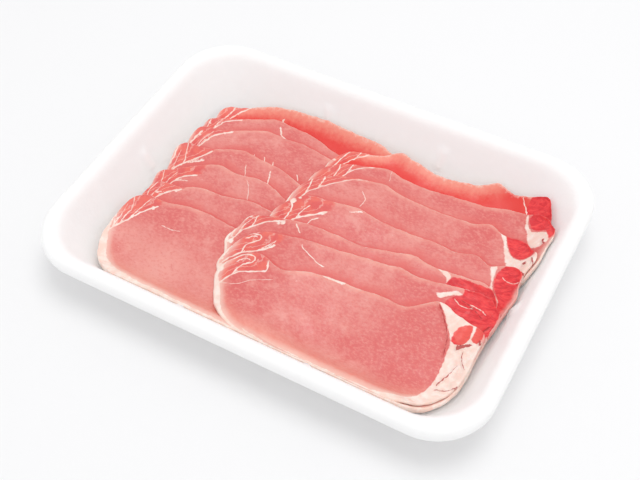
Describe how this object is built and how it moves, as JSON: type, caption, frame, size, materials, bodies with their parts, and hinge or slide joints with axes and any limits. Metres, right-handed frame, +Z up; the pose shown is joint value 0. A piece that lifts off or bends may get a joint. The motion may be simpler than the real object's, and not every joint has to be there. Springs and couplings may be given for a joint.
{
  "type": "meat tray pack",
  "caption": "White foam tray with a rolled lip, holding two shingled rows of thinly sliced raw pork loin",
  "frame": {"origin": "middle of the tray's footprint, on the plane the tray stands on", "axes": "+X along the tray's long side towards the end where the upper row lies, +Y towards the rear of the pack, where the shingled slices start, +Z up"},
  "size_m": [0.24, 0.175, 0.03],
  "materials": {
    "foam": "white expanded polystyrene foam, smooth skin with a faint bead texture",
    "pork": "raw pork loin, pink lean meat with fine grain, cream fat rim and seams, soft wet sheen"
  },
  "bodies": {
    "root": {"tray": "foam", "slice_left_1": "pork", "slice_left_2": "pork", "slice_left_3": "pork", "slice_left_4": "pork", "slice_left_5": "pork", "slice_left_6": "pork", "slice_left_7": "pork", "slice_right_1": "pork", "slice_right_2": "pork", "slice_right_3": "pork", "slice_right_4": "pork", "slice_right_5": "pork", "slice_right_6": "pork", "slice_right_7": "pork"}
  },
  "joints": []
}
